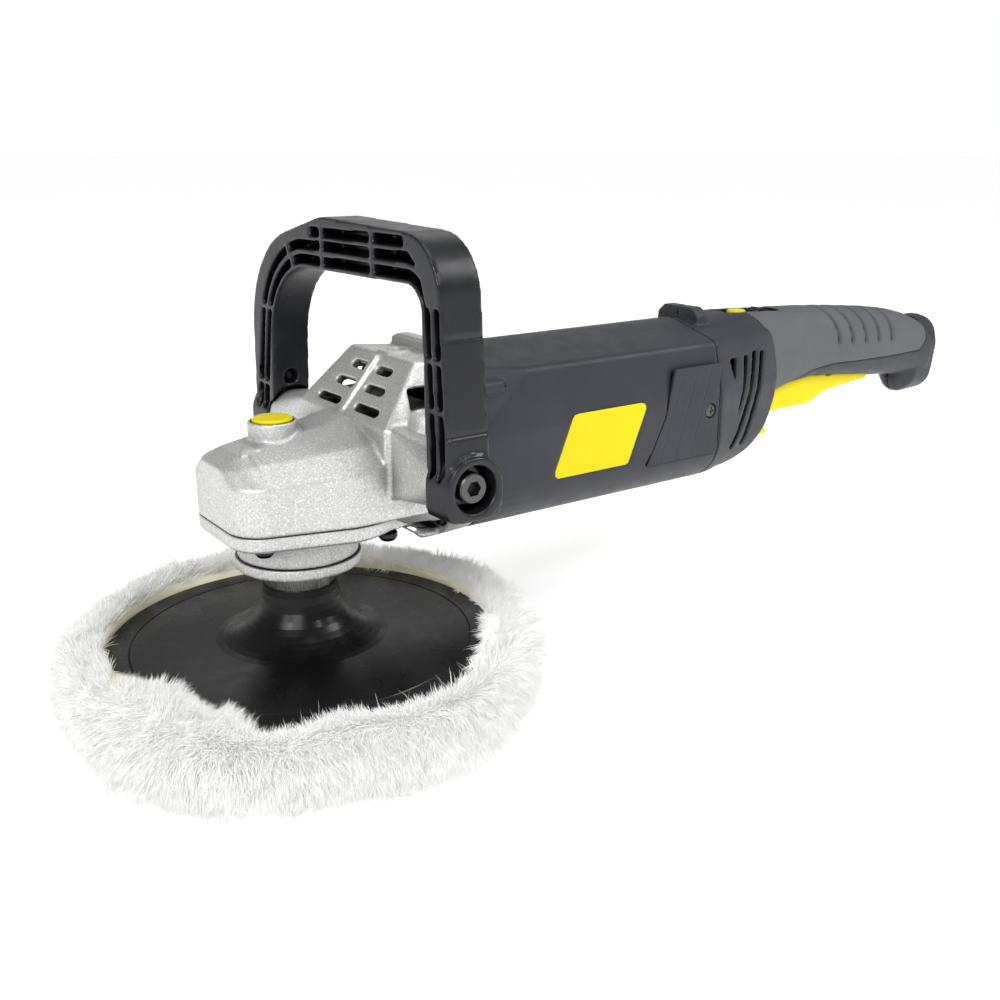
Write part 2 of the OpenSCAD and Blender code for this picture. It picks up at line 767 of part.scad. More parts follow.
module side_badges() {
    color(YELLOW) both_sides() through_side(half_w - 0.9, half_w - 0.3) offset(delta = -0.25) badge_outline();
}

// ---------- trigger handle ----------

// Rounded outline of the handle, w to each side and from z0 up to z1
function squircle(w, z0, z1, n, k) = [
    for (i = [0 : n - 1])
        let (c = cos(i * 360 / n), s = sin(i * 360 / n))
        [w * sign(c) * pow(abs(c), 2 / k), (z0 + z1) / 2 + (z1 - z0) / 2 * sign(s) * pow(abs(s), 2 / k)]
];

// Grip stations: [x, half width, underside, top]
GRIP = [
    [244, 33, 84, 161.6], [256, 31, 88, 162.4], [270, 28, 94, 162.4], [286, 24.5, 103, 161.9],
    [302, 21.5, 110, 161.1], [320, 19.6, 114, 160.1], [340, 18.8, 115.5, 159.1], [360, 18.6, 114, 157.7],
    [380, 18.6, 112, 155.9], [400, 18.6, 110, 153.9], [416, 18.7, 108.8, 151.7], [430, 18.8, 107.5, 148.4],
    [442, 18.8, 106.5, 144], [450, 18.6, 105.5, 139.6]
];

module grip_ring(g, inset) {
    translate([g[0] + (g[0] < 250 ? inset : 0), 0, 0]) along_x() linear_extrude(height = 0.02)
        polygon(squircle(g[1] - inset, g[2] + inset, g[3] - inset, 32, 2.6));
}

module grip_body(inset) {
    for (i = [0 : len(GRIP) - 2]) hull() {
        grip_ring(GRIP[i], inset);
        grip_ring(GRIP[i + 1], inset);
    }
}

// Wide hood between the motor housing and the grip, rounded off towards the back
module hood_outer(inset) {
    intersection() {
        hull() {
            body_slice(motor_x1 + 0.05, 1, inset, 31, 30, 48);
            translate([hood_cx + hood_r - 1, 0, 0]) scale([1, 0.7, 1])
                body_slice(0, 1, inset * 1.3, 31, 30, 48);
        }
        through_body() {
            translate([hood_cx, hood_cz]) circle(r = hood_r - inset, $fn = 80);
            translate([motor_x1, hood_cz - hood_r - 6]) square([9, 2 * hood_r + 20]);
        }
    }
}

module through_body() {
    translate([0, 100, 0]) along_y() linear_extrude(height = 200) children();
}

// End guard below and around the tail
module tail_guard(inset) {
    hull() {
        translate([tail_x - 5, 0, 104]) sphere(r = 10 - inset, $fn = 28);
        translate([tail_x - 8 + inset, 0, 127]) rotate([0, 90, 0])
            cylinder(r = 18 - inset, h = 17 - 2 * inset, $fn = 40);
        translate([tail_x - 6 + inset, 0, 110]) rotate([0, 90, 0])
            cylinder(r = 15 - inset, h = 17 - 2 * inset, $fn = 40);
    }
}

// Round socket at the very end, where the mains cable enters
module tail_socket() {
    translate([tail_x, 0, tail_z]) rotate([0, 90, 0]) cylinder(r = 13.5, h = end_x - tail_x - 2);
    translate([end_x - 2 - eps, 0, tail_z]) rotate([0, 90, 0]) cylinder(r1 = 13.5, r2 = 11.5, h = 2);
}

// Side outline of the soft grip
module grip_zone() {
    difference() {
        polygon([
            [246, 170], [440, 170], [446, 150], [443, 131], [436, 124.4], [400, 123.6], [352, 124.6],
            [334, 122.6], [318, 116.4], [300, 104], [288, 96], [246, 96]
        ]);
        translate([hood_cx, hood_cz]) circle(r = hood_r + 0.6, $fn = 80);
    }
}

module grip_layer(over = 0) {
    intersection() {
        difference() {
            grip_body(-over);
            grip_body(1.6);
        }
        through_body() grip_zone();
    }
}

// Curved cooling slot, w wide at the top and w_end at the bottom
module louvre(x_top, x_bottom, z_top, z_bottom, w, w_end) {
    steps = 8;
    function middle(t) = [
        x_top + (x_bottom - x_top) * (0.4 * t + 0.6 * t * t),
        z_top + (z_bottom - z_top) * t
    ];
    function half(t) = (w + (w_end - w) * t) / 2;
    polygon(concat(
        [for (i = [0 : steps]) middle(i / steps) - [half(i / steps), 0]],
        [for (i = [steps : -1 : 0]) middle(i / steps) + [half(i / steps), 0]]
    ));
}

module louvres() {
    both_sides() through_side(12, 60) {
        polygon([[241, 142], [248.5, 142], [244.6, 128.5]]);
        louvre(257, 245.5, 142.2, 107.5, 4.6, 1);
        louvre(265.7, 243.7, 143.4, 92.3, 4.4, 3.6);
        louvre(273.2, 253.6, 142.6, 93, 4.4, 3.6);
    }
}

// Recess in the top of the handle for the button and the dial
module controls_recess() {
    translate([266, -8.2, 158.4]) cube([45, 16.4, 20]);
}
module controls_holes() {
    translate([282, 0, 140]) cylinder(r = 5.55, h = 40);
    translate([290, -4.5, 140]) cube([18, 9, 40]);
}

module trigger_slot() {
    translate([281, -trigger_hw - 0.6, 80]) cube([118.4, 2 * trigger_hw + 1.2, 42]);
}

module handle_body() {
    difference() {
        union() {
            hood_outer(0);
            grip_body(0);
            tail_guard(0);
            tail_socket();
        }
        hood_outer(wall);
        grip_body(wall + 0.6);
        tail_guard(wall);
        translate([tail_x - 8, 0, tail_z]) rotate([0, 90, 0]) cylinder(r = 10.5, h = 14);
        translate([motor_x1 - 1, 0, 0]) body_slice(0, 6, wall);
        // Cable inlet
        translate([tail_x, 0, tail_z]) rotate([0, 90, 0]) cylinder(r = 8, h = 40);
        trigger_slot();
        louvres();
        controls_recess();
    }
}

module rest_bar() {
    hull() {
        translate([235, -11, 156]) cube([8, 22, 11.3]);
        translate([235, -15.5, 156]) cube([8, 31, 7]);
    }
}

module half_space(side) {
    translate([200, side > 0 ? 0.02 : -100.02, 0]) cube([300, 100, 300]);
}

module shell_half(side) {
    difference() {
        intersection() {
            union() {
                handle_body();
                rest_bar();
                translate([263, -11, 155.2]) cube([50, 22, 3]);
                for (p = boss_spots())
                    translate([p[0], side * p[2], p[1]]) rotate([side * 90, 0, 0])
                        cylinder(r = 4.4, h = p[2], $fn = 24);
                translate([pivot_x, side * 13, pivot_z]) rotate([side * 90, 0, 0])
                    cylinder(r = 3.4, h = 3.2, $fn = 24);
            }
            half_space(side);
        }
        grip_layer(1);
        controls_holes();
        screw_holes();
        translate([pivot_x, -13.1, pivot_z]) rotate([-90, 0, 0]) cylinder(r = 2.03, h = 26.2, $fn = 48);
    }
}

// Handle screws: x, z and the depth of the head's seat
function boss_spots() = [[250, 150, 26], [330, 150, 14], [414, 127, 16]];

module screw_holes() {
    for (p = boss_spots()) translate([p[0], 0, p[1]]) rotate([-90, 0, 0]) {
        translate([0, 0, -10.5]) cylinder(r = 1.6, h = 36.5, $fn = 24);
        translate([0, 0, p[2] - 4.1]) cylinder(r = 3.5, h = 40, $fn = 24);
    }
}

module handle_shell_left() { color(DARK) shell_half(-1); }
module handle_shell_right() { color(DARK) shell_half(1); }

module grip_half(side) {
    difference() {
        intersection() {
            grip_layer();
            half_space(side);
        }
        controls_recess();
        trigger_slot();
        screw_holes();
    }
}

module grip_left() { color(GREY) grip_half(-1); }
module grip_right() { color(GREY) grip_half(1); }

module handle_screws() {
    color(STEEL) for (p = boss_spots())
        translate([p[0], p[2] - 4, p[1]]) rotate([-90, 0, 0]) pan_screw(3.1, 2.2, 1.5, p[2] + 6);
}

module trigger() {
    color(YELLOW) difference() {
        union() {
            translate([0, trigger_hw, 0]) along_y() linear_extrude(height = 2 * trigger_hw)
                offset(r = 1.5) offset(delta = -1.5)
                    polygon([[286, 99], [341, 100.2], [347, 101.8], [355, 106], [396, 109.5],
                        [398.5, 114], [397, 122.5], [386, 122.5],
                     [360, 115.5], [340, 115], [300, 113], [286, 112]]);
            // Cheeks that close the slot beside the trigger
            for (y = [-trigger_hw, trigger_hw - 2.4])
                translate([0, y + 2.4, 0]) along_y() linear_extrude(height = 2.4)
                    polygon([[288, 109], [362, 109], [354, 119.5], [320, 120.5], [300, 117], [288, 115]]);
        }
        translate([pivot_x, -20, pivot_z]) rotate([-90, 0, 0]) cylinder(r = 2 + shaft_gap, h = 40);
        translate([303, -20, 101.5]) rotate([-90, 0, 0]) cylinder(r = 1.5 + shaft_gap, h = 40);
        translate([290, -4.2, 90]) cube([24, 8.4, 20]);
    }
}

module trigger_pin() {
    color(STEEL) translate([pivot_x, -13, pivot_z]) rotate([-90, 0, 0]) cylinder(r = 2, h = 26);
}

module trigger_spring() {
    color(STEEL) translate([345, 0, 115.9]) coil_spring(3.4, 0.5, 11.8, 5);
}

module trigger_lock() {
    color(YELLOW) {
        difference() {
            translate([0, 4, 0]) along_y() linear_extrude(height = 8)
                polygon([[299, 105], [306, 105], [306.5, 100], [305, 92], [311, 86.5], [309, 84.5],
                    [303, 84.5], [299.5, 92]]);
            translate([303, -20, 101.5]) rotate([-90, 0, 0]) cylinder(r = 1.5, h = 40);
        }
        translate([303, -8.6, 101.5]) rotate([-90, 0, 0]) cylinder(r = 1.5, h = 17.2);
    }
}

module switch_module() {
    color(BLACK) translate([338, -9, 128.4]) cube([36, 18, 20]);
}

module lock_on_button() {
    color(YELLOW) {
        translate([282, 0, 151.2]) cylinder(r = 5.5, h = 9.4);
        translate([282, 0, 160.6]) cylinder(r1 = 5.5, r2 = 4.6, h = 0.8);
    }
}

module speed_dial() {
    teeth = 22;
    color(BLACK) translate([299, -4, 153.4]) rotate([-90, 0, 0]) difference() {
        cylinder(r = 8, h = 8);
        for (i = [0 : teeth - 1]) rotate(i * 360 / teeth) translate([8, 0, -1])
            cylinder(r = 0.6, h = 10, $fn = 13);
        translate([0, 0, -1]) cylinder(r = 1.5 + shaft_gap, h = 10);
    }
}

module speed_board() {
    color([0.1, 0.35, 0.2]) translate([276, -12, 138]) cube([30, 24, 1.6]);
    color(BLACK) {
        translate([296.5, -8, 139.6]) cube([5, 2.5, 15.4]);
        translate([299, -8, 153.4]) rotate([-90, 0, 0]) cylinder(r = 1.5, h = 14);
    }
}

module cable_bush() {
    color(BLACK) translate([tail_x + 4, 0, tail_z]) rotate([0, 90, 0]) difference() {
        union() {
            cylinder(r = 7.9, h = end_x - tail_x - 4);
        }
        translate([0, 0, -1]) cylinder(r = cable_r, h = 60);
    }
}

// ---------- D-shaped handle ----------

// Inner edge of the loop as circles: a tight corner on the left and a sweeping one on the right
function inner_circles(grow, bottom) = [
    [-loop_in + 2, bottom, 2 + grow], [loop_in - 2, bottom, 2 + grow],
    [27, loop_top - 64.5, 41 + grow], [-61.5, loop_top - 33.5, 11 + grow]
];
function outer_circles() = [
    [-loop_w / 2 + 8, loop_bottom + 8, 8], [loop_w / 2 - 8, loop_bottom + 8, 8],
    [35, loop_top - 62, 55], [8, loop_top - 35, 35], [-60, loop_top - 28, 26]
];

module pocket_band(d, bottom) {
    difference() {
        belt(inner_circles(d + 2, bottom));
        belt(inner_circles(d - 2, bottom - 8));
    }
}

// Pockets in the front face: bands that follow the inside of the loop, broken by ribs
module loop_pockets() {
    difference() {
        union() {
            for (d = [4, 10.6]) pocket_band(d, 128);
            intersection() {
                pocket_band(16.6, 128);
                translate([-60, 196]) square([82, 40]);
            }
        }
        // Solid lower ends
        translate([-120, 0]) square([240, 120]);
        // Solid near corner
        polygon([[-60, 240], [-62, 213], [-71, 206], [-74, 196], [-76, 192], [-120, 192], [-120, 240]]);
        // Ribs
        for (y = [11, -34]) translate([y - 1.4, 190]) square([2.8, 40]);
        translate([34, 190]) rotate(-36) translate([-1.4, 0]) square([2.8, 40]);
        for (z = [171, 151]) translate([-120, z - 1.2]) square([120, 2.4]);
        for (z = [176, 137]) translate([0, z - 1.2]) square([120, 2.4]);
    }
}

module leg_end() {
    h = loop_t + 0.5;
    cylinder(r = 13.5, h = h);
    for (x = [-8, 8]) translate([x, -8, 0]) cylinder(r = 5.5, h = h);
    translate([-13.5, -8, 0]) cube([27, 8, h]);
    translate([-8, -13.5, 0]) cube([16, 10, h]);
}

module d_handle() {
    color(BLACK) difference() {
        union() {
            translate([loop_x0, 0, 0]) along_x() linear_extrude(height = loop_depth) difference() {
                belt(outer_circles());
                belt(inner_circles(0, 60));
            }
            both_sides() translate([bolt_x, -loop_in, bolt_z]) rotate([90, 0, 0]) leg_end();
        }
        translate([loop_x0 - 1, 0, 0]) along_x() linear_extrude(height = 12) loop_pockets();
        both_sides() translate([bolt_x, -loop_in + 1, bolt_z]) rotate([90, 0, 0]) {
            cylinder(r = bolt_r, h = 40);
            translate([0, 0, 8]) cylinder(r = sink_r, h = 30);
        }
        // Round seats that turn on the ends of the gear housing's arms
        both_sides() translate([bolt_x, -arm_end - 0.08, bolt_z]) rotate([-90, 0, 0])
            cylinder(r1 = 12.9, r2 = 16.5, h = 10);
        // Moulded recess on the inside of each leg
        both_sides() translate([34, -loop_in - 3, 140]) rotate([-90, 0, 0]) cylinder(r = 3.8, h = 10);
    }
}

module handle_bolts() {
    color(STEEL) both_sides() translate([bolt_x, -loop_in - 8.65, bolt_z]) rotate([90, 0, 0]) difference() {
        union() {
            cylinder(r = 6.5, h = 7);
            translate([0, 0, 7]) cylinder(r1 = 6.5, r2 = 5.9, h = 0.6);
            translate([0, 0, -25]) cylinder(r = bolt_r - shaft_gap, h = 25);
        }
        translate([0, 0, 3.4]) cylinder(r = 3.46, h = 10, $fn = 6);
    }
}

module handle_washers() {
    color(STEEL) both_sides() translate([bolt_x, -loop_in - 7.05, bolt_z]) rotate([90, 0, 0])
        ring(8.4, 4.3, 1.55);
}

wool_pile();
bonnet_backing();
hook_disc();
foam_layer();
backing_pad();
pad_insert();
spindle();
spindle_gear();
gear_housing();
gear_cover();
bearing_ring();
felt_seal();
spindle_bearing();
spindle_top_bush();
cover_screws();
housing_screws();
lock_button();
lock_pin();
lock_spring();
layshaft();
layshaft_pinion();
bevel_wheel();
layshaft_bearings();
bevel_pinion();
armature_shaft();
armature_core();
armature_windings();
commutator();
fan();
armature_bearings();
motor_housing();
stator_core();
field_coils();
baffle_ring();
brush_holders();
carbon_brushes();
brush_springs();
brush_covers();
brush_cover_screws();
side_badges();
handle_shell_left();
handle_shell_right();
grip_left();
grip_right();
handle_screws();
trigger();
trigger_pin();
trigger_spring();
trigger_lock();
switch_module();
lock_on_button();
speed_dial();
speed_board();
cable_bush();
d_handle();
handle_bolts();
handle_washers();
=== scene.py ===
"""Rotary polisher: its looks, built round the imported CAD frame. Everything is in metres, +Z up."""

import json
import math

import bmesh
import bpy
import numpy as np
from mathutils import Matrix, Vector


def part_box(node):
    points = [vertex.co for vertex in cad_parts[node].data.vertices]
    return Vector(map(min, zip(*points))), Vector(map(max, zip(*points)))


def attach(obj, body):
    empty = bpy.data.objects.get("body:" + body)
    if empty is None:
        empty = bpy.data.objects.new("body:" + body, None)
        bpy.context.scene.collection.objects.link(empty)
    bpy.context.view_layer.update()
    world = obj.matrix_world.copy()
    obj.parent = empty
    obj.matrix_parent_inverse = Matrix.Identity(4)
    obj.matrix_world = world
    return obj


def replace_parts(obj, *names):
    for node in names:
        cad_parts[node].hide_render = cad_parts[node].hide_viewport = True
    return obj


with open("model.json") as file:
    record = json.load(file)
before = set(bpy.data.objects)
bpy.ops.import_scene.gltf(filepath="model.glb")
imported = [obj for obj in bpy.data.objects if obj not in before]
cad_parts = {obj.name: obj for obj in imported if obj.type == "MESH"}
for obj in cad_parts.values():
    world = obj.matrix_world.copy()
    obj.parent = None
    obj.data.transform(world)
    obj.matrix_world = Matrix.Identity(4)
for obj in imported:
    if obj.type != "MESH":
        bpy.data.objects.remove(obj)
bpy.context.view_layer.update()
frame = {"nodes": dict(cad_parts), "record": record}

MM = 0.001
RECORD = frame["record"]
SLOT_OF = {part["node"]: part["material_slot"] for part in RECORD["subparts"]}
BODY_OF = {node: body for body, nodes in RECORD["behaviour"]["bodies"].items() for node in nodes}


# ---------- nodes of a procedural material ----------

OCCLUSION_SAMPLES = 6

class Shader:
    """A material with one principled shader, and short names for the nodes that feed it."""

    def __init__(self, name):
        self.material = bpy.data.materials.new(name)
        self.material.use_nodes = True
        self.tree = self.material.node_tree
        self.tree.nodes.clear()
        self.surface = self.tree.nodes.new("ShaderNodeBsdfPrincipled")
        out = self.tree.nodes.new("ShaderNodeOutputMaterial")
        self.tree.links.new(self.surface.outputs["BSDF"], out.inputs["Surface"])
        coords = self.tree.nodes.new("ShaderNodeTexCoord")
        self.place = coords.outputs["Object"]

    def set(self, **values):
        for key, value in values.items():
            self.surface.inputs[key.replace("_", " ")].default_value = value

    def link(self, source, target):
        self.tree.links.new(source, target)

    def feed(self, socket, source):
        self.link(source, self.surface.inputs[socket])

    def stretched(self, scale):
        node = self.tree.nodes.new("ShaderNodeMapping")
        node.inputs["Scale"].default_value = scale
        self.link(self.place, node.inputs["Vector"])
        return node.outputs["Vector"]

    def noise(self, grain, detail=3.0, rough=0.55, place=None):
        """Noise with features about grain metres across."""
        node = self.tree.nodes.new("ShaderNodeTexNoise")
        node.inputs["Scale"].default_value = 1 / grain
        node.inputs["Detail"].default_value = detail
        node.inputs["Roughness"].default_value = rough
        self.link(place or self.place, node.inputs["Vector"])
        return node.outputs["Fac"]

    def cells(self, grain):
        """Distance to the middle of cells about grain metres across."""
        node = self.tree.nodes.new("ShaderNodeTexVoronoi")
        node.inputs["Scale"].default_value = 1 / grain
        self.link(self.place, node.inputs["Vector"])
        return node.outputs["Distance"]

    def spread(self, source, low, high, start=0.3, end=0.7):
        """Maps start..end of a value onto low..high."""
        node = self.tree.nodes.new("ShaderNodeMapRange")
        for socket, value in (("From Min", start), ("From Max", end), ("To Min", low), ("To Max", high)):
            node.inputs[socket].default_value = value
        self.link(source, node.inputs["Value"])
        return node.outputs["Result"]

    def math(self, operation, a, b):
        node = self.tree.nodes.new("ShaderNodeMath")
        node.operation = operation
        for socket, value in zip(node.inputs, (a, b)):
            if isinstance(value, (int, float)):
                socket.default_value = value
            else:
                self.link(value, socket)
        return node.outputs["Value"]

    def mix(self, factor, one, two):
        node = self.tree.nodes.new("ShaderNodeMix")
        node.data_type = "RGBA"
        self.link(factor, node.inputs["Factor"])
        for socket, value in ((node.inputs["A"], one), (node.inputs["B"], two)):
            if isinstance(value, tuple):
                socket.default_value = (*value, 1)
            else:
                self.link(value, socket)
        return node.outputs["Result"]

    def bump(self, height, depth, after=None):
        """Relief depth metres high, laid over an earlier one when after is given."""
        node = self.tree.nodes.new("ShaderNodeBump")
        node.inputs["Distance"].default_value = depth
        self.link(height, node.inputs["Height"])
        if after:
            self.link(after, node.inputs["Normal"])
        self.feed("Normal", node.outputs["Normal"])
        return node.outputs["Normal"]

    def painted_recess_shade(self, reach, start=0.3, end=0.9):
        """Mask of painted shade: 1 deep in slots and pockets narrower than reach, 0 on open faces."""
        node = self.tree.nodes.new("ShaderNodeAmbientOcclusion")
        node.samples = OCCLUSION_SAMPLES
        node.inputs["Distance"].default_value = reach
        return self.spread(node.outputs["AO"], 1, 0, start, end)

    def edges(self, start=0.52, end=0.6):
        """1 on raised edges, 0 elsewhere."""
        node = self.tree.nodes.new("ShaderNodeNewGeometry")
        return self.spread(node.outputs["Pointiness"], 0.0, 1.0, start, end)


def tinted(colour, by):
    """The colour made by times as bright."""
    return tuple(min(1.0, max(0.0, c * by)) for c in colour)


def moulded(name, colour, rough, grain=0.5 * MM, depth=0.02 * MM, vary=0.12, coat=0.0, worn=1.35,
            shine=0.25):
    """Moulded plastic or rubber: fine spark-erosion grain, uneven gloss, edges rubbed a little paler, painted
    shade in slots and pockets.
    """
    cloud_size, gloss_size, slot_size = 35 * MM, 9 * MM, 7 * MM
    edge_share, slot_shade = 0.5, 0.1
    s = Shader(name)
    cloud = s.noise(cloud_size)
    base = s.mix(s.spread(cloud, 0, 1), tinted(colour, 1 - vary), tinted(colour, 1 + vary))
    base = s.mix(s.math("MULTIPLY", s.edges(), edge_share), base, tinted(colour, worn))
    # Painted shade: slots and pockets darkened to a tenth of the colour, where shade falls.
    s.feed("Base Color", s.mix(s.painted_recess_shade(slot_size), base, tinted(colour, slot_shade)))
    s.feed("Roughness", s.spread(s.noise(gloss_size), rough - 0.06, rough + 0.07))
    s.set(Coat_Weight=coat, Coat_Roughness=0.2, IOR=1.48, Specular_IOR_Level=shine)
    s.bump(s.noise(grain, 2.0), depth)
    return s.material


def cast_aluminium(name):
    """Die-cast aluminium with a sandy, sparkling skin, and painted shade darkening its vents and recesses."""
    cloud_size, bright_speck, dark_speck, vent_size = 28 * MM, 0.8 * MM, 0.9 * MM, 14 * MM
    edge_share = 0.45
    s = Shader(name)
    cloud = s.spread(s.noise(cloud_size), 0, 1)
    base = s.mix(cloud, (0.5, 0.5, 0.488), (0.58, 0.58, 0.567))
    bright = s.spread(s.noise(bright_speck, 2.0), 0, 0.7, 0.52, 0.66)
    base = s.mix(bright, base, (0.84, 0.84, 0.82))
    dark = s.spread(s.noise(dark_speck, 2.0), 0, 0.6, 0.56, 0.7)
    base = s.mix(dark, base, (0.32, 0.32, 0.31))
    base = s.mix(s.math("MULTIPLY", s.edges(), edge_share), base, (0.84, 0.84, 0.83))
    # Painted shade: vents, scoops and recesses darkened nearly to black, where shade falls.
    s.feed("Base Color", s.mix(s.painted_recess_shade(vent_size), base, (0.03, 0.03, 0.032)))
    s.feed("Roughness", s.spread(s.noise(0.9 * MM, 2.0), 0.36, 0.55))
    s.set(Metallic=0.7)
    rough_skin = s.bump(s.noise(0.6 * MM, 3.0), 0.07 * MM)
    s.bump(s.noise(7 * MM, 2.0), 0.12 * MM, after=rough_skin)
    return s.material


def metal(name, colour, rough, brushed=(1, 1, 1), depth=0.006 * MM):
    """Machined or plated metal, brushed along the axis whose scale is smallest."""
    s = Shader(name)
    lines = s.noise(0.35 * MM, 3.0, place=s.stretched(brushed))
    s.feed("Base Color", s.mix(s.spread(lines, 0, 1), tinted(colour, 0.85), tinted(colour, 1.1)))
    s.feed("Roughness", s.spread(lines, rough - 0.08, rough + 0.1))
    s.set(Metallic=1.0)
    s.bump(lines, depth)
    return s.material


def laminated(name):
    """A stack of thin steel plates along X."""
    s = Shader(name)
    lines = s.noise(0.5 * MM, 1.0, place=s.stretched((1, 0.01, 0.01)))
    s.feed("Base Color", s.mix(s.spread(lines, 0, 1), (0.16, 0.16, 0.17), (0.38, 0.38, 0.4)))
    s.feed("Roughness", s.spread(lines, 0.35, 0.6))
    s.set(Metallic=0.8)
    s.bump(lines, 0.05 * MM)
    return s.material


def wound_copper(name):
    """Enamelled wire, its turns side by side."""
    s = Shader(name)
    turns = s.noise(0.7 * MM, 1.0, place=s.stretched((0.08, 1, 1)))
    s.feed("Base Color", s.mix(s.spread(turns, 0, 1), (0.35, 0.13, 0.05), (0.75, 0.36, 0.16)))
    s.feed("Roughness", s.spread(turns, 0.25, 0.45))
    s.set(Metallic=0.85, Coat_Weight=0.5, Coat_Roughness=0.2)
    s.bump(turns, 0.15 * MM)
    return s.material


def fibre(name, colour, grain, depth, sheen=0.4):
    """Felt, cloth backing or hook tape."""
    s = Shader(name)
    fuzz = s.noise(grain, 5.0, 0.7)
    s.feed("Base Color", s.mix(s.spread(fuzz, 0, 1), tinted(colour, 0.72), tinted(colour, 1.08)))
    s.feed("Roughness", s.spread(fuzz, 0.8, 1.0))
    s.set(Sheen_Weight=sheen, Sheen_Roughness=0.6)
    s.bump(s.cells(grain * 1.5), depth)
    return s.material


def foam(name):
    """Yellow open-cell foam."""
    s = Shader(name)
    pores = s.cells(0.9 * MM)
    s.feed("Base Color", s.mix(s.spread(pores, 0, 1, 0.1, 0.6), (0.62, 0.5, 0.05), (0.95, 0.84, 0.16)))
    s.feed("Roughness", s.spread(s.noise(2 * MM), 0.75, 0.95))
    s.bump(pores, 0.25 * MM)
    return s.material


def wool(name):
    """White lambswool, cream on the far side where it leaves the yellow layers at the pad's rim."""
    streak_size, clump_size = 3.0 * MM, 16 * MM
    rim_from, rim_to = 0.0905, 0.094
    low, high = 0.033, 0.040
    near_y, far_y = -0.02, 0.01
    s = Shader(name)
    streaks = s.noise(streak_size, 4.0, 0.65)
    clumps = s.noise(clump_size, 2.0)
    white = s.mix(s.spread(streaks, 0, 1), (0.90, 0.90, 0.882), (0.97, 0.97, 0.958))
    white = s.mix(s.spread(clumps, 0, 0.4), white, (0.98, 0.98, 0.97))
    split = s.tree.nodes.new("ShaderNodeSeparateXYZ")
    s.link(s.place, split.inputs["Vector"])
    x, y, z = (split.outputs[axis] for axis in "XYZ")
    radius = s.math("SQRT", s.math("ADD", s.math("MULTIPLY", x, x), s.math("MULTIPLY", y, y)), 0)
    near_rim = s.spread(radius, 1, 0, rim_from, rim_to)
    far_side = s.spread(y, 0, 1, near_y, far_y)
    below = s.spread(z, 1, 0, low, high)
    cream = s.math("MULTIPLY", far_side, s.math("MULTIPLY", near_rim, below))
    s.feed("Base Color", s.mix(cream, white, (0.94, 0.86, 0.5)))
    s.feed("Roughness", s.spread(streaks, 0.8, 1.0))
    # Painted light: a faint white glow in the wool stands in for light scattered between its strands.
    s.set(Sheen_Weight=0.3, Sheen_Roughness=0.5, Specular_IOR_Level=0.2,
          Emission_Color=(1, 1, 0.985, 1), Emission_Strength=0.085)
    s.bump(streaks, 0.5 * MM)
    return s.material


def printed_board(name):
    """Green circuit board with its tracks."""
    s = Shader(name)
    tracks = s.cells(3 * MM)
    s.feed("Base Color", s.mix(s.spread(tracks, 0, 1, 0.3, 0.35), (0.02, 0.16, 0.07), (0.05, 0.28, 0.13)))
    s.feed("Roughness", s.spread(s.noise(4 * MM), 0.3, 0.45))
    s.bump(tracks, 0.05 * MM)
    return s.material


MATERIALS = {
    "wool": wool("wool"),
    "bonnet_cloth": fibre("bonnet_cloth", (0.86, 0.84, 0.74), 0.8 * MM, 0.15 * MM),
    "hook_yellow": fibre("hook_yellow", (0.92, 0.78, 0.06), 0.6 * MM, 0.2 * MM),
    "foam_yellow": foam("foam_yellow"),
    "pad_black": moulded("pad_black", (0.005, 0.005, 0.005), 0.3, 1.2 * MM, 0.004 * MM,
                         coat=0.1, worn=1.0, shine=0.2),
    "steel": metal("steel", (0.2, 0.2, 0.2), 0.24, (1, 1, 0.1)),
    "gear_steel": metal("gear_steel", (0.42, 0.42, 0.43), 0.36, (0.3, 1, 1)),
    "cast_silver": cast_aluminium("cast_silver"),
    "screw_black": metal("screw_black", (0.03, 0.03, 0.036), 0.3),
    "screw_steel": metal("screw_steel", (0.10, 0.10, 0.10), 0.34),
    "button_yellow": moulded("button_yellow", (0.72, 0.59, 0.001), 0.4, 0.6 * MM, 0.01 * MM,
                             vary=0.03, worn=1.03, shine=0.2),
    "badge_yellow": moulded("badge_yellow", (0.655, 0.55, 0.001), 0.45, 0.8 * MM, 0.006 * MM,
                            vary=0.02, worn=1.03, shine=0.2),
    "body_charcoal": moulded("body_charcoal", (0.032, 0.0335, 0.041), 0.44, 0.55 * MM, 0.03 * MM),
    "handle_black": moulded("handle_black", (0.0085, 0.009, 0.012), 0.32, 0.7 * MM, 0.03 * MM,
                            worn=1.9, shine=0.4),
    "grip_grey": moulded("grip_grey", (0.092, 0.095, 0.104), 0.6, 0.5 * MM, 0.05 * MM, vary=0.06, worn=1.15),
    "felt": fibre("felt", (0.05, 0.05, 0.05), 0.7 * MM, 0.2 * MM),
    "copper": wound_copper("copper"),
    "laminations": laminated("laminations"),
    "brass": metal("brass", (0.62, 0.46, 0.2), 0.35),
    "carbon": moulded("carbon", (0.03, 0.03, 0.032), 0.62, 0.4 * MM, 0.03 * MM),
    "inner_plastic": moulded("inner_plastic", (0.010, 0.014, 0.034), 0.45, 0.6 * MM, 0.02 * MM),
    "board_green": printed_board("board_green"),
}

for node, shown in frame["nodes"].items():
    shown.data.materials.clear()
    shown.data.materials.append(MATERIALS[SLOT_OF[node]])


# ---------- mesh helpers ----------

SAME_POINT = 1e-6
RELAX = 0.5


def new_object(name, mesh, slot, body):
    """A piece with a material slot's finish, riding on a body."""
    obj = bpy.data.objects.new(name, mesh)
    bpy.context.collection.objects.link(obj)
    mesh.materials.clear()
    mesh.materials.append(MATERIALS[slot])
    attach(obj, body)
    return obj


def mesh_of(name, points, faces):
    mesh = bpy.data.meshes.new(name)
    mesh.from_pydata([tuple(p) for p in points], [], [tuple(f) for f in faces])
    mesh.validate()
    return mesh


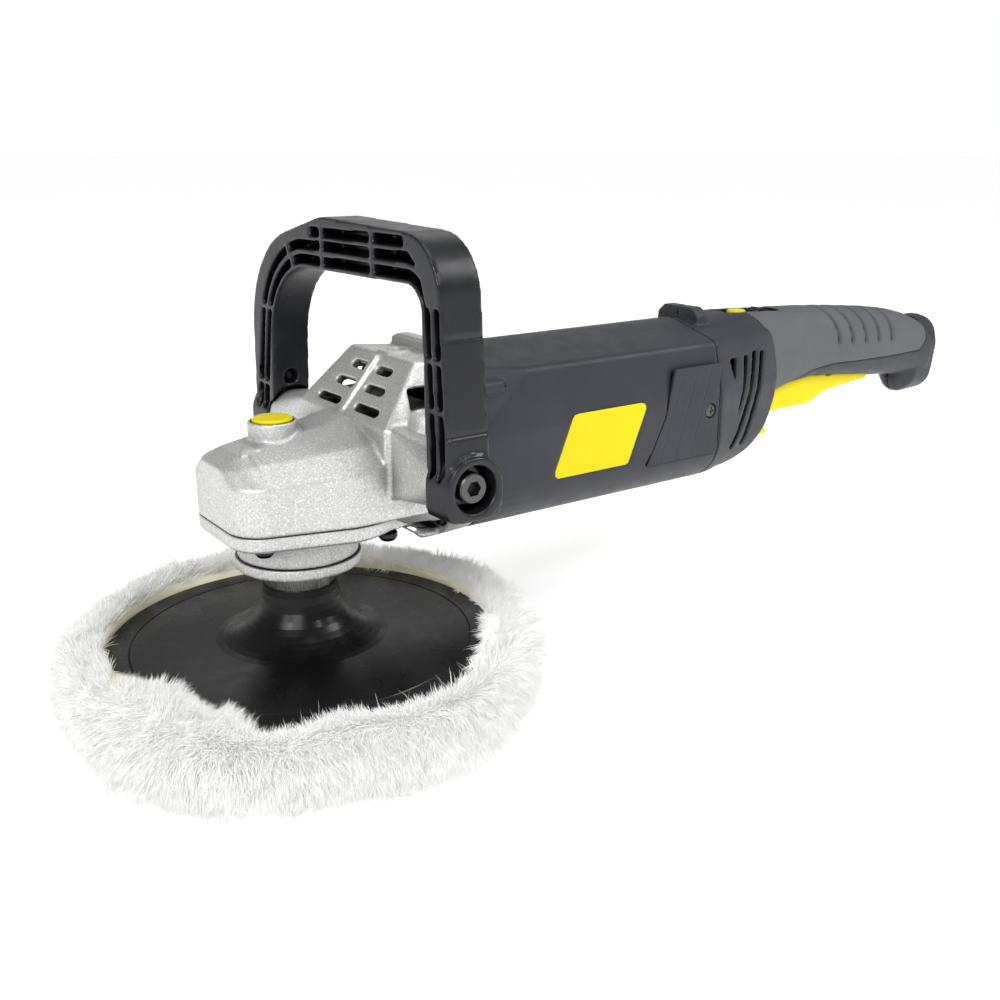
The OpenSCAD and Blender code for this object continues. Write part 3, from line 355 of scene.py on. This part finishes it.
def mesh_of_arrays(name, points, corners, sizes):
    """A mesh from arrays: corners lists every face's points in turn, sizes how many each face has."""
    mesh = bpy.data.meshes.new(name)
    mesh.vertices.add(len(points))
    mesh.vertices.foreach_set("co", points.reshape(-1))
    mesh.loops.add(len(corners))
    mesh.loops.foreach_set("vertex_index", corners)
    mesh.polygons.add(len(sizes))
    mesh.polygons.foreach_set("loop_start", np.cumsum(sizes) - sizes)
    mesh.update(calc_edges=True)
    return mesh


def with_modifiers(obj):
    """The object's mesh with its modifiers applied, as a new mesh."""
    bpy.context.view_layer.update()
    shaped = obj.evaluated_get(bpy.context.evaluated_depsgraph_get())
    return bpy.data.meshes.new_from_object(shaped)


def places(mesh):
    flat = np.empty(len(mesh.vertices) * 3)
    mesh.vertices.foreach_get("co", flat)
    return flat.reshape(-1, 3)


def normals(mesh):
    flat = np.empty(len(mesh.vertices) * 3)
    mesh.vertex_normals.foreach_get("vector", flat)
    return flat.reshape(-1, 3)


def move_to(mesh, points):
    mesh.vertices.foreach_set("co", points.reshape(-1))
    mesh.update()


def smooth_shaded(mesh):
    mesh.polygons.foreach_set("use_smooth", [True] * len(mesh.polygons))
    mesh.update()


def soften(node, grain, rounds, shape=None):
    """A copy of a CAD node with its edges rounded and its inside corners filled, as a casting or
    moulding has them: remeshed at grain metres and relaxed for some rounds. shape then moves its points."""
    mesh = frame["nodes"][node].data.copy()
    work = bmesh.new()
    work.from_mesh(mesh)
    bmesh.ops.remove_doubles(work, verts=work.verts, dist=SAME_POINT)
    work.to_mesh(mesh)
    work.free()
    rough = bpy.data.objects.new("rough", mesh)
    bpy.context.collection.objects.link(rough)
    remesh = rough.modifiers.new("remesh", "REMESH")
    remesh.mode = "VOXEL"
    remesh.voxel_size = grain
    relax = rough.modifiers.new("relax", "SMOOTH")
    relax.factor = RELAX
    relax.iterations = rounds
    final = with_modifiers(rough)
    bpy.data.objects.remove(rough)
    final.name = node + "_form"
    if shape:
        points = places(final)
        move_to(final, shape(points, normals(final)))
    smooth_shaded(final)
    obj = new_object(node + "_form", final, SLOT_OF[node], BODY_OF[node])
    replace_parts(obj, node)


def smooth_copy(node, angle=math.radians(28)):
    """A copy of a CAD node shaded smooth, its corners kept sharp."""
    mesh = frame["nodes"][node].data.copy()
    mesh.name = node + "_form"
    smooth_shaded(mesh)
    mesh.set_sharp_from_angle(angle=angle)
    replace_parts(new_object(node + "_form", mesh, SLOT_OF[node], BODY_OF[node]), node)


# ---------- castings and mouldings ----------

def fade(value, start, length):
    """0 up to start, 1 from length beyond it, and even between."""
    return np.clip((value - start) / length, 0, 1)


def ridge(value, centre, half):
    """A smooth hump of height 1 at centre."""
    return np.exp(-((value - centre) / half) ** 2)


def grip_grooves(points, out):
    """Finger grooves pressed into the soft grip, curving back as they run down its sides."""
    grooves, depth, half = 5, 2.1 * MM, 1.5 * MM
    axis_z, wall = 130 * MM, 8 * MM
    x, z = points[:, 0], points[:, 2]
    outward = fade(out[:, 2] * (z - axis_z) + out[:, 1] * points[:, 1], 0, wall)
    pressed = np.zeros(len(points))
    for i in range(grooves):
        top_x, top_z = (345.3 + 14.5 * i) * MM, (159.5 - 1.35 * i) * MM
        sweep, bottom_z = (12.5 - 1.9 * i) * MM, (134.5 - 0.8 * i) * MM
        fallen = np.clip(top_z - z, 0, None)
        line = top_x + sweep * (1 - np.exp(-fallen / (14 * MM)))
        pressed += depth * ridge(x, line, half) * fade(z, bottom_z, 3 * MM)
    return points - out * (pressed * outward)[:, None]


def rotation_arrow(points, out):
    """A shallow cast arrow on the nose, for the way the disc turns."""
    centre_x, nose_z, height = -25 * MM, 118 * MM, 0.5 * MM
    tail_y, neck_y, tip_y, shaft_half, head_slope = -26 * MM, -12 * MM, -3 * MM, 1.3 * MM, 0.6
    x, y = abs(points[:, 0] - centre_x), points[:, 1]
    shaft = (x < shaft_half) & (y > tail_y) & (y < neck_y)
    head = (x < (tip_y - y) * head_slope) & (y > neck_y)
    level = fade(out[:, 2], 0.75, 0.2) * (points[:, 2] > nose_z)
    return points + out * (height * (shaft | head) * level)[:, None]


def leg_marks(points, out):
    """A sunk panel down the outside of each leg and a raised land round each bolt."""
    panel_low, panel_high, line_half = 142 * MM, 180.5 * MM, 0.9 * MM
    bolt_x, bolt_z, land_r, outer_y = 35.5 * MM, 120 * MM, 14.4 * MM, 85 * MM
    x, z = points[:, 0], points[:, 2]
    outward = fade(abs(out[:, 1]), 0.6, 0.3) * (abs(points[:, 1]) > outer_y)
    panel = (z > panel_low) & (z < panel_high)
    lines = ridge(z, panel_low, line_half) + ridge(z, panel_high, line_half)
    land = np.hypot(x - bolt_x, z - bolt_z) < land_r
    return points + out * (outward * MM * (0.8 * land - 0.4 * panel - 0.6 * lines))[:, None]


soften("gear_housing", 0.9 * MM, 6, shape=rotation_arrow)
soften("gear_cover", 0.7 * MM, 3)
soften("bearing_ring", 0.6 * MM, 2)
soften("d_handle", 0.8 * MM, 8, shape=leg_marks)
soften("motor_housing", 0.9 * MM, 3)
for side in ("left", "right"):
    soften("handle_shell_" + side, 0.8 * MM, 5)
    soften("grip_" + side, 0.6 * MM, 8, shape=grip_grooves)
soften("trigger", 0.6 * MM, 4)
soften("brush_covers", 0.45 * MM, 2)
soften("side_badges", 0.45 * MM, 2)
soften("cable_bush", 0.5 * MM, 3)
soften("lock_button", 0.4 * MM, 4)
soften("lock_on_button", 0.4 * MM, 4)
soften("speed_dial", 0.35 * MM, 2)
soften("trigger_lock", 0.4 * MM, 3)
smooth_copy("backing_pad")


# ---------- wool bonnet ----------

rng = np.random.default_rng(7)
PAD_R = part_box("backing_pad")[1][0]
RIM_Z = 32 * MM
FLOOR_Z = 0.5 * MM
WOOL_R = 105 * MM
FIRST_T, LAST_T = 0.06, 0.97
LOCK_SIDES, LOCK_JOINTS = 3, 4
LOCKS_PER_PIECE = 7000

# Where the wool flops over the pad's edge: angle and half-width in degrees, reach inward, rise, in mm
FLOPS = [(-157, 12, 13, 4), (-140, 9, 8, 0), (-118, 14, -3, -6), (-88, 8, 1, -4), (-70, 9, -1, -5),
         (-51, 10, 2, -3), (-25, 14, 1, 0), (0, 18, 1, 2), (40, 24, 1, 4), (75, 20, 0, 3),
         (110, 22, 0, 4), (150, 20, 0, 3)]
# Where the pile bulges or draws in: angle and half-width in degrees, mm
BULGES = [(-150, 22, 6), (-110, 10, -4), (-80, 18, 2), (-43, 12, -2), (10, 20, 2), (178, 14, -2)]


def around(angle, heights):
    """Sum of smooth bumps round the circle, from (centre, half-width, height) in degrees and mm."""
    total = np.zeros_like(angle)
    for centre, half, height in heights:
        away = (np.degrees(angle) - centre + 180) % 360 - 180
        total += height * MM * np.exp(-((away / half) ** 2))
    return total


WAVES = [(k, rng.uniform(0, 2 * math.pi), rng.uniform(0.4, 1.0)) for k in (2, 3, 5, 7, 9, 13, 17, 23)]


def lumps(angle, turn):
    """Uneven fullness of the pile, about -1..1."""
    total = sum(size / k ** 0.5 * np.sin(k * angle + phase + turn * (1 + k % 3)) for k, phase, size in WAVES)
    return total / 1.6


# The skirt's section, as radius and height in mm: along the underside, round the side, to the inner lip
PROFILE = np.array([
    (0, 3.0), (45, 2.8), (76, 2.8), (90, 4.4), (99, 9), (104.5, 16), (105.5, 23),
    (103.5, 28.5), (100, 32), (96.5, 33.5), (93.5, 33), (91.6, 31.5), (91.2, 29.5)
]) * MM


def curve_at(points, t):
    """Smooth curve through points; t runs 0..1."""
    n = len(points) - 1
    u = np.clip(t, 0, 1) * n
    i = np.clip(u.astype(int), 0, n - 1)
    f = (u - i)[:, None]
    p0 = points[np.clip(i - 1, 0, n)]
    p1 = points[i]
    p2 = points[i + 1]
    p3 = points[np.clip(i + 2, 0, n)]
    return 0.5 * (2 * p1 + (p2 - p0) * f + (2 * p0 - 5 * p1 + 4 * p2 - p3) * f ** 2
                  + (3 * p1 - p0 - 3 * p2 + p3) * f ** 3)


def skirt(angle, t):
    """Points of the pile's skin, t from the middle of the underside, round the side, to the inner lip."""
    lump_r, lump_z, clear_of_rim, gap_over_pad = 2.4 * MM, 1.8 * MM, 0.6 * MM, 1.2 * MM
    rz = curve_at(PROFILE, t)
    full = fade(t, 0.2, 0.25) * np.clip((1 - t) / 0.1, 0, 1)
    lip = fade(t, 0.62, 0.2) * (1 - fade(t, 0.9, 0.1))
    reach = around(angle, [(a, w, r) for a, w, r, _ in FLOPS])
    rise = around(angle, [(a, w, h) for a, w, _, h in FLOPS])
    r = rz[:, 0] + full * (lumps(angle, 5 * t) * lump_r + around(angle, BULGES)) - reach * lip
    z = rz[:, 1] + rise * lip + full * lumps(angle + 2, 4 * t) * lump_z
    over_pad = (r < PAD_R + clear_of_rim) & (t > 0.8)
    z = np.where(over_pad, np.maximum(z, RIM_Z + gap_over_pad), z)
    z = np.where(t < 0.5, np.maximum(z, FLOOR_Z), z)
    return np.stack([r * np.cos(angle), r * np.sin(angle), z], 1)


def skin_frame(angle, t):
    """Point, outward normal, direction along the profile and direction round, at each place."""
    step = 1e-3
    here = skirt(angle, t)
    along = skirt(angle, np.clip(t + step, 0, 1)) - skirt(angle, np.clip(t - step, 0, 1))
    along /= np.linalg.norm(along, axis=1, keepdims=True) + 1e-12
    turn = np.stack([-np.sin(angle), np.cos(angle), 0 * angle], 1)
    out = np.cross(turn, along)
    out /= np.linalg.norm(out, axis=1, keepdims=True) + 1e-12
    return here, out, along, turn


def bonnet_core():
    """The closed, lumpy body of the pile that the locks grow from."""
    turns, steps = 256, 72
    turn_angles = np.arange(turns) * 2 * math.pi / turns
    angle, t = np.meshgrid(turn_angles, np.linspace(FIRST_T, 1, steps), indexing="ij")
    skin = skirt(angle.ravel(), t.ravel())
    inner_r = PAD_R * 1.004
    inner_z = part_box("bonnet_backing")[0][2] - 0.3 * MM
    low, high, base = len(skin), len(skin) + 1, len(skin) + 2
    inner = [(inner_r * np.cos(a), inner_r * np.sin(a), inner_z) for a in turn_angles]
    points = np.vstack([skin, [(0, 0, PROFILE[0][1]), (0, 0, inner_z)], inner])
    faces = []
    for i in range(turns):
        j = (i + 1) % turns
        for k in range(steps - 1):
            faces.append((i * steps + k, j * steps + k, j * steps + k + 1, i * steps + k + 1))
        faces.append((low, j * steps, i * steps))
        faces.append((i * steps + steps - 1, j * steps + steps - 1, base + j, base + i))
        faces.append((base + i, base + j, high))
    mesh = mesh_of("wool_core", points, faces)
    smooth_shaded(mesh)
    obj = new_object("wool_core", mesh, "wool", BODY_OF["wool_pile"])
    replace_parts(obj, "wool_pile")


def strands(name, root, heading, length, radius, droop):
    """Closed tapering locks of wool: from each root, along heading, bending down and curling. They are
    shared out among pieces small enough to be exported whole."""
    thinnest = 0.02 * MM
    sides, joints = LOCK_SIDES, LOCK_JOINTS
    count = len(root)
    heading = heading / np.linalg.norm(heading, axis=1, keepdims=True)
    side = np.cross(heading, rng.normal(size=(count, 3)))
    side /= np.linalg.norm(side, axis=1, keepdims=True) + 1e-12
    other = np.cross(heading, side)
    curl = rng.uniform(-0.35, 0.35, (count, 1))
    rings = []
    for j in range(joints + 1):
        s = j / joints
        spine = (root + heading * length[:, None] * s
                 + side * curl * length[:, None] * s ** 2
                 + np.array([0, 0, -1.0]) * (droop * length)[:, None] * s ** 2)
        if j == joints:
            rings.append(spine[:, None, :])
            break
        width = (radius * (1 - s) ** 0.7 * (1 + 0.6 * np.sin(math.pi * s)))[:, None] + thinnest
        steps = [2 * math.pi * k / sides for k in range(sides)]
        rings.append(np.stack([spine + width * (side * math.cos(a) + other * math.sin(a)) for a in steps], 1))
    points = np.concatenate(rings, 1)
    points[:, :, 2] = np.maximum(points[:, :, 2], FLOOR_Z)
    per = joints * sides + 1
    one = [tuple(range(sides))]
    for j in range(joints - 1):
        for k in range(sides):
            n = (k + 1) % sides
            one.append((j * sides + k, (j + 1) * sides + k, (j + 1) * sides + n, j * sides + n))
    last = (joints - 1) * sides
    one += [(last + k, per - 1, last + (k + 1) % sides) for k in range(sides)]
    corners = np.array([v for face in one for v in face])
    for first in range(0, count, LOCKS_PER_PIECE):
        locks = points[first:first + LOCKS_PER_PIECE]
        stacked = (corners[None, :] + per * np.arange(len(locks))[:, None]).reshape(-1)
        sizes = np.tile([len(face) for face in one], len(locks))
        mesh = mesh_of_arrays(f"{name}_{first // LOCKS_PER_PIECE}", locks.reshape(-1, 3), stacked, sizes)
        smooth_shaded(mesh)
        new_object(mesh.name, mesh, "wool", BODY_OF["wool_pile"])


def pile(name, tufts, each, t_range, length, radius, lean, lift, droop=0.12, gather=0.55,
         turned=(-180, 180), spread=2.6 * MM, sink=1.5 * MM):
    """Tufts of locks on a band of the skirt, each locks to a tuft. lift is how far they stand off it and
    lean how far they lie along the profile, towards the lip when positive; gather is how far the tips of
    a tuft draw together, and turned the degrees round the pad that the band covers."""
    def tips(skin, rise, slope, flow, reach):
        here, out, along, turn = skin
        heading = out * rise[:, None] + along * slope[:, None] + turn * flow[:, None]
        return here + heading * (reach / np.linalg.norm(heading, axis=1))[:, None]

    middle = np.radians(rng.uniform(*turned, tufts))
    at = rng.uniform(*t_range, tufts)
    flow = 0.4 * np.sin(2 * middle + 0.8) + 0.25 * np.sin(5 * middle + 9 * at) + rng.normal(0, 0.2, tufts)
    rise = lift * rng.uniform(0.7, 1.3, tufts)
    slope = lean * rng.uniform(0.6, 1.3, tufts)
    reach = rng.uniform(*length, tufts)
    centre = tips(skin_frame(middle, at), rise, slope, flow, reach)
    own = np.repeat(np.arange(tufts), each)
    count = len(own)
    angle = middle[own] + rng.normal(0, spread / WOOL_R, count)
    t = np.clip(at[own] + rng.normal(0, spread * 8, count), FIRST_T, LAST_T)
    skin = skin_frame(angle, t)
    stray = rng.normal(0, 0.14, (3, count))
    end = tips(skin, rise[own] + stray[0], slope[own] + stray[1], flow[own] + stray[2],
               reach[own] * rng.uniform(0.7, 1.15, count))
    end += (centre[own] - end) * gather
    root = skin[0] - skin[1] * sink
    way = end - root
    size = np.linalg.norm(way, axis=1)
    strands(name, root, way, size, rng.uniform(*radius, count), np.full(count, droop))


bonnet_core()
pile("wool_underside", 300, 24, (0.12, 0.4), (6 * MM, 10 * MM), (0.3 * MM, 0.6 * MM),
     lean=1.1, lift=0.4, droop=0.0)
for layer in range(4):
    pile(f"wool_side_{layer}", 620, 26, (0.34, 0.74), (10 * MM, 17 * MM), (0.12 * MM, 0.28 * MM),
         lean=-0.85, lift=0.52)
pile("wool_lip", 900, 28, (0.68, 0.97), (6 * MM, 11 * MM), (0.1 * MM, 0.22 * MM),
     lean=-0.7, lift=0.26, droop=0.05, turned=(-185, 5))
pile("wool_wisps", 420, 24, (0.88, 0.97), (3 * MM, 7 * MM), (0.06 * MM, 0.14 * MM),
     lean=1.0, lift=0.22, droop=0.03, gather=0.65, turned=(-180, 0), spread=1.8 * MM)
pile("wool_flop", 170, 30, (0.7, 0.95), (6 * MM, 12 * MM), (0.08 * MM, 0.2 * MM),
     lean=0.8, lift=0.4, droop=0.05, gather=0.6, turned=(-174, -132))
pile("wool_far", 700, 28, (0.62, 0.9), (8 * MM, 13 * MM), (0.09 * MM, 0.22 * MM),
     lean=-0.3, lift=0.8, droop=0.05, gather=0.5, turned=(-5, 185))
pile("wool_flyaway", 1600, 2, (0.36, 0.8), (11 * MM, 17 * MM), (0.04 * MM, 0.08 * MM),
     lean=-0.6, lift=0.6, droop=0.1, gather=0.0)


# ---------- stage, light and camera ----------

FLOOR_R = 30


def floor():
    """A wide pale disc under the pad."""
    work = bmesh.new()
    bmesh.ops.create_circle(work, cap_ends=True, radius=FLOOR_R, segments=96)
    mesh = bpy.data.meshes.new("floor")
    work.to_mesh(mesh)
    work.free()
    obj = bpy.data.objects.new("floor", mesh)
    bpy.context.collection.objects.link(obj)
    s = Shader("floor")
    s.feed("Base Color", s.mix(s.spread(s.noise(0.4), 0, 1), (0.93, 0.93, 0.93), (0.96, 0.96, 0.96)))
    s.set(Roughness=0.9, Emission_Color=(1, 1, 1, 1), Emission_Strength=0.44)
    mesh.materials.append(s.material)


def aimed(obj, way):
    """Turns a lamp or camera to look along way."""
    obj.rotation_euler = Vector(way).to_track_quat("-Z", "Y").to_euler()


def area_light(name, place, aim, size, power):
    data = bpy.data.lights.new(name, "AREA")
    data.shape = "DISK"
    data.size = size
    data.energy = power
    obj = bpy.data.objects.new(name, data)
    bpy.context.collection.objects.link(obj)
    obj.location = place
    aimed(obj, Vector(aim) - Vector(place))


def sun(name, place, aim, spread_degrees, strength):
    """A soft far light that shines from place towards aim."""
    data = bpy.data.lights.new(name, "SUN")
    data.angle = math.radians(spread_degrees)
    data.energy = strength
    obj = bpy.data.objects.new(name, data)
    bpy.context.collection.objects.link(obj)
    aimed(obj, Vector(aim) - Vector(place))


def studio():
    """White surroundings, two soft suns and five soft lamps."""
    world = bpy.data.worlds.new("studio")
    bpy.context.scene.world = world
    world.use_nodes = True
    tree = world.node_tree
    background = tree.nodes["Background"]
    # White at the horizon, dimmer overhead, so that light comes mostly from the lamps
    coords = tree.nodes.new("ShaderNodeTexCoord")
    split = tree.nodes.new("ShaderNodeSeparateXYZ")
    fade = tree.nodes.new("ShaderNodeMapRange")
    horizon, overhead = 1.0, 0.28
    for socket, value in (("From Min", 0.12), ("From Max", 0.24), ("To Min", horizon), ("To Max", overhead)):
        fade.inputs[socket].default_value = value
    tree.links.new(coords.outputs["Generated"], split.inputs["Vector"])
    tree.links.new(split.outputs["Z"], fade.inputs["Value"])
    tree.links.new(fade.outputs["Result"], background.inputs["Strength"])
    background.inputs["Color"].default_value = (1, 1, 1, 1)
    middle, pad = (0.12, 0, 0.1), (0, 0, 0.04)
    sun("key", (-0.9, -1.2, 1.2), middle, 25, 1.15)
    sun("back", (0.9, 1.3, 1.5), middle, 40, 0.3)
    area_light("softbox_left", (-1.2, -0.5, 0.9), middle, 0.5, 5)
    area_light("softbox_top", (0.2, -0.2, 1.6), middle, 0.8, 5)
    area_light("softbox_right", (0.9, -0.6, 1.0), middle, 0.5, 6)
    area_light("lamp_left", (-0.9, -0.55, 1.0), pad, 0.16, 2)
    area_light("lamp_right", (0.35, -1.0, 0.9), pad, 0.16, 2)


def camera():
    """A camera in front of the near side, a little above the tool."""
    data = bpy.data.cameras.new("camera")
    data.lens = 40.73
    data.sensor_width = 36
    obj = bpy.data.objects.new("camera", data)
    bpy.context.collection.objects.link(obj)
    obj.location = (-0.2107, -0.4521, 0.2537)
    aimed(obj, (0.5565, 0.7739, -0.3022))
    bpy.context.scene.camera = obj


floor()
studio()
camera()
bpy.context.scene.view_settings.view_transform = "Standard"
